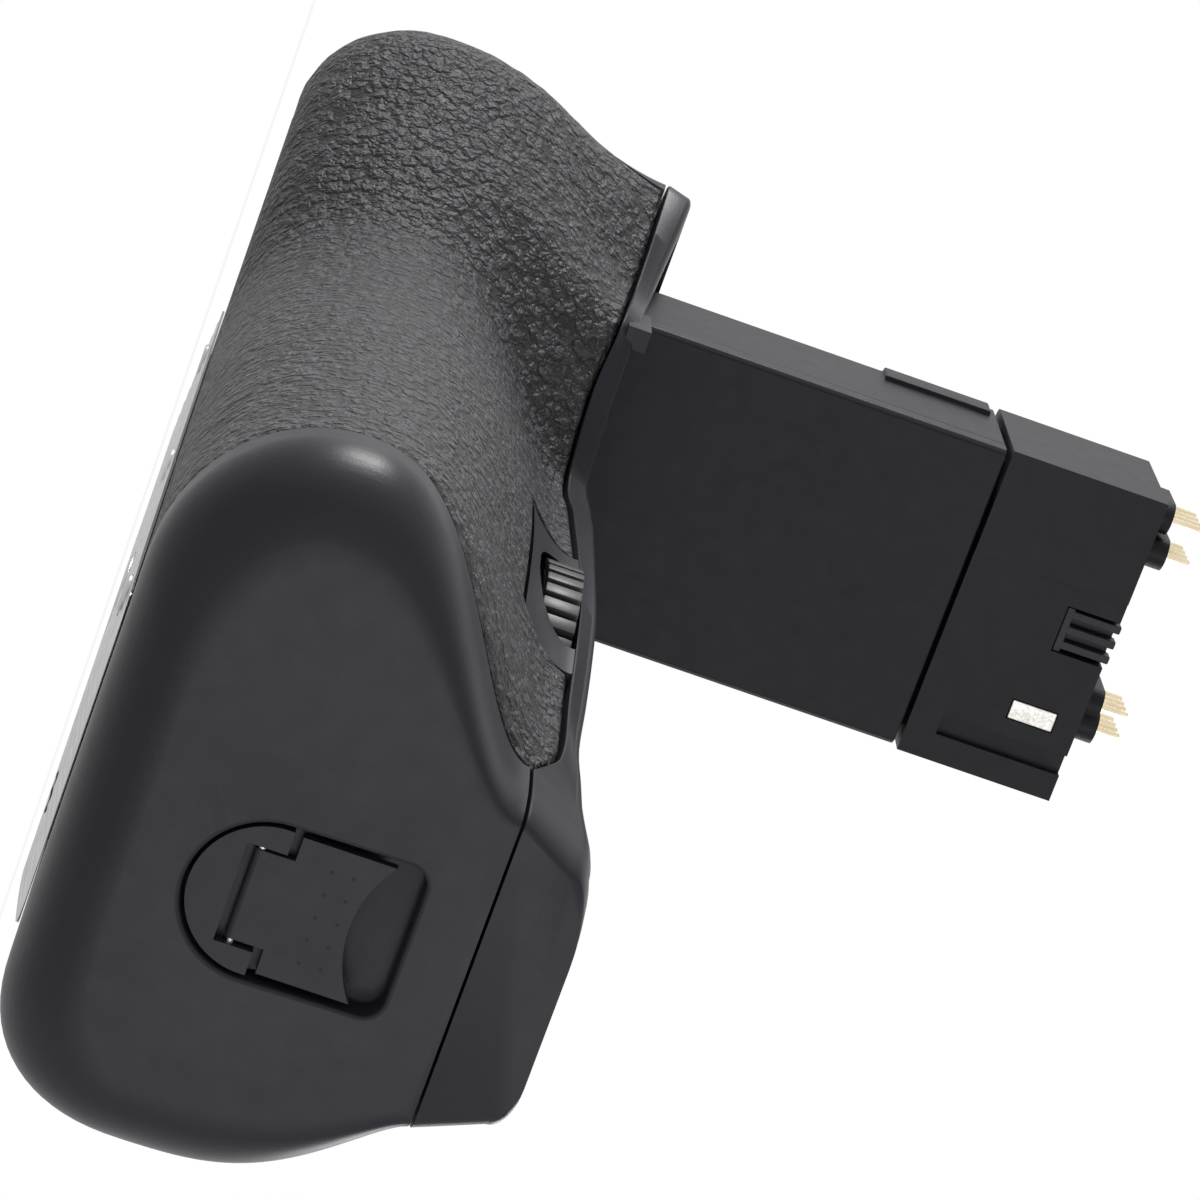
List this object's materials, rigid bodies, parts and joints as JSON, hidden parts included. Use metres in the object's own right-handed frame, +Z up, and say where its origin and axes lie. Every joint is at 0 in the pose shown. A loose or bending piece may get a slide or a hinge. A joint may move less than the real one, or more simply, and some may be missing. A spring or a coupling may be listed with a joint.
{
  "type": "camera battery grip",
  "caption": "Camera battery grip with a tall contact stalk, rubber hand grip, fold-out magazine latch, thumbwheel camera screw and a sliding battery tray.",
  "frame": {"origin": "tripod axis at the floor that the grip stands on", "axes": "+X along the body towards the magazine end, -Y the front with the hand grip, +Z up the stalk"},
  "size_m": [0.1446, 0.082, 0.1102],
  "materials": {
    "case_plastic": "fine matte",
    "inner_plastic": "plain matte",
    "stalk_plastic": "satin",
    "grip_skin": "leather grain",
    "gold_contact": "plated",
    "nickel_contact": "plated",
    "steel": "turned",
    "brass": "plain",
    "board": "solder mask"
  },
  "bodies": {
    "housing": {"lower_housing": "case_plastic", "grip_rubber": "grip_skin", "rear_rubber": "grip_skin", "base_pad": "grip_skin", "base_screws": "steel", "top_case": "case_plastic", "battery_chamber": "inner_plastic", "mouth_frame": "inner_plastic", "wheel_frame": "case_plastic", "terminal_block": "inner_plastic", "terminal_blades": "brass", "main_board": "board", "control_board": "board", "rear_board": "board", "tripod_socket": "steel", "wheel_bush": "brass", "locating_pin": "steel", "stalk_tub": "stalk_plastic", "stalk_lid": "stalk_plastic", "stalk_head": "stalk_plastic", "stalk_ribbon": "brass", "rib_comb": "case_plastic", "side_contact": "nickel_contact", "front_pin_block": "stalk_plastic", "rear_pin_block": "stalk_plastic", "shutter_ring": "case_plastic", "dial_axle": "steel", "dial_bracket": "steel"},
    "magazine": {"end_cover": "case_plastic", "battery_tray": "inner_plastic", "tray_contacts": "brass"},
    "latch_knob": {"knob_base": "case_plastic", "latch_shaft": "steel", "latch_cam": "inner_plastic", "shaft_clip": "steel", "hinge_pin": "steel"},
    "handle": {"fold_handle": "case_plastic"},
    "clamp_wheel": {"thumbwheel": "case_plastic", "camera_screw": "steel", "wheel_washer": "steel"},
    "front_pin_set": {"front_pins": "gold_contact"},
    "rear_pin_set": {"rear_pins": "gold_contact"},
    "shutter": {"shutter_button": "case_plastic"},
    "dial": {"control_dial": "case_plastic"},
    "function_key": {"function_button": "case_plastic"},
    "lever": {"power_lever": "case_plastic"},
    "rear_key_a": {"rear_button_a": "case_plastic"},
    "rear_key_b": {"rear_button_b": "case_plastic"},
    "rear_key_c": {"rear_button_c": "case_plastic"}
  },
  "joints": [
    {"name": "magazine_slide", "type": "slide", "parent": "housing", "child": "magazine", "axis": [1, 0, 0], "range_m": [0, 0.122]},
    {"name": "handle_turn", "type": "hinge", "parent": "magazine", "child": "latch_knob", "pos_m": [0.0489, 0.0042, 0.0204], "axis": [1, 0, 0], "range_deg": [0, 45]},
    {"name": "handle_fold", "type": "hinge", "parent": "latch_knob", "child": "handle", "pos_m": [0.0514, 0.0042, 0.0187], "axis": [0, 1, 0], "range_deg": [0, 90]},
    {"name": "wheel_turn", "type": "hinge", "parent": "housing", "child": "clamp_wheel", "pos_m": [0, 0, 0.0397], "axis": [0, 0, 1], "continuous": true},
    {"name": "front_pin_press", "type": "slide", "parent": "housing", "child": "front_pin_set", "axis": [0, 0, -1], "range_m": [0, 0.001], "stiffness_N_per_m": 300},
    {"name": "rear_pin_press", "type": "slide", "parent": "housing", "child": "rear_pin_set", "axis": [0, 0, -1], "range_m": [0, 0.001], "stiffness_N_per_m": 300},
    {"name": "shutter_press", "type": "slide", "parent": "housing", "child": "shutter", "axis": [1, 0, 0], "range_m": [0, 0.0012], "stiffness_N_per_m": 400},
    {"name": "function_press", "type": "slide", "parent": "housing", "child": "function_key", "axis": [1, 0, 0], "range_m": [0, 0.001], "stiffness_N_per_m": 400},
    {"name": "dial_turn", "type": "hinge", "parent": "housing", "child": "dial", "pos_m": [-0.0866, -0.0115, 0.022], "axis": [0, 1, 0], "continuous": true},
    {"name": "lever_turn", "type": "hinge", "parent": "housing", "child": "lever", "pos_m": [-0.0903, 0.011, 0.019], "axis": [1, 0, 0], "range_deg": [0, 40]},
    {"name": "rear_press_a", "type": "slide", "parent": "housing", "child": "rear_key_a", "axis": [0, -1, 0], "range_m": [0, 0.0008], "stiffness_N_per_m": 400},
    {"name": "rear_press_b", "type": "slide", "parent": "housing", "child": "rear_key_b", "axis": [0, -1, 0], "range_m": [0, 0.0008], "stiffness_N_per_m": 400},
    {"name": "rear_press_c", "type": "slide", "parent": "housing", "child": "rear_key_c", "axis": [0, -1, 0], "range_m": [0, 0.0008], "stiffness_N_per_m": 400}
  ],
  "couplings": [
    {"joint": "handle_fold", "follows": "handle_turn", "ratio": 2}
  ]
}
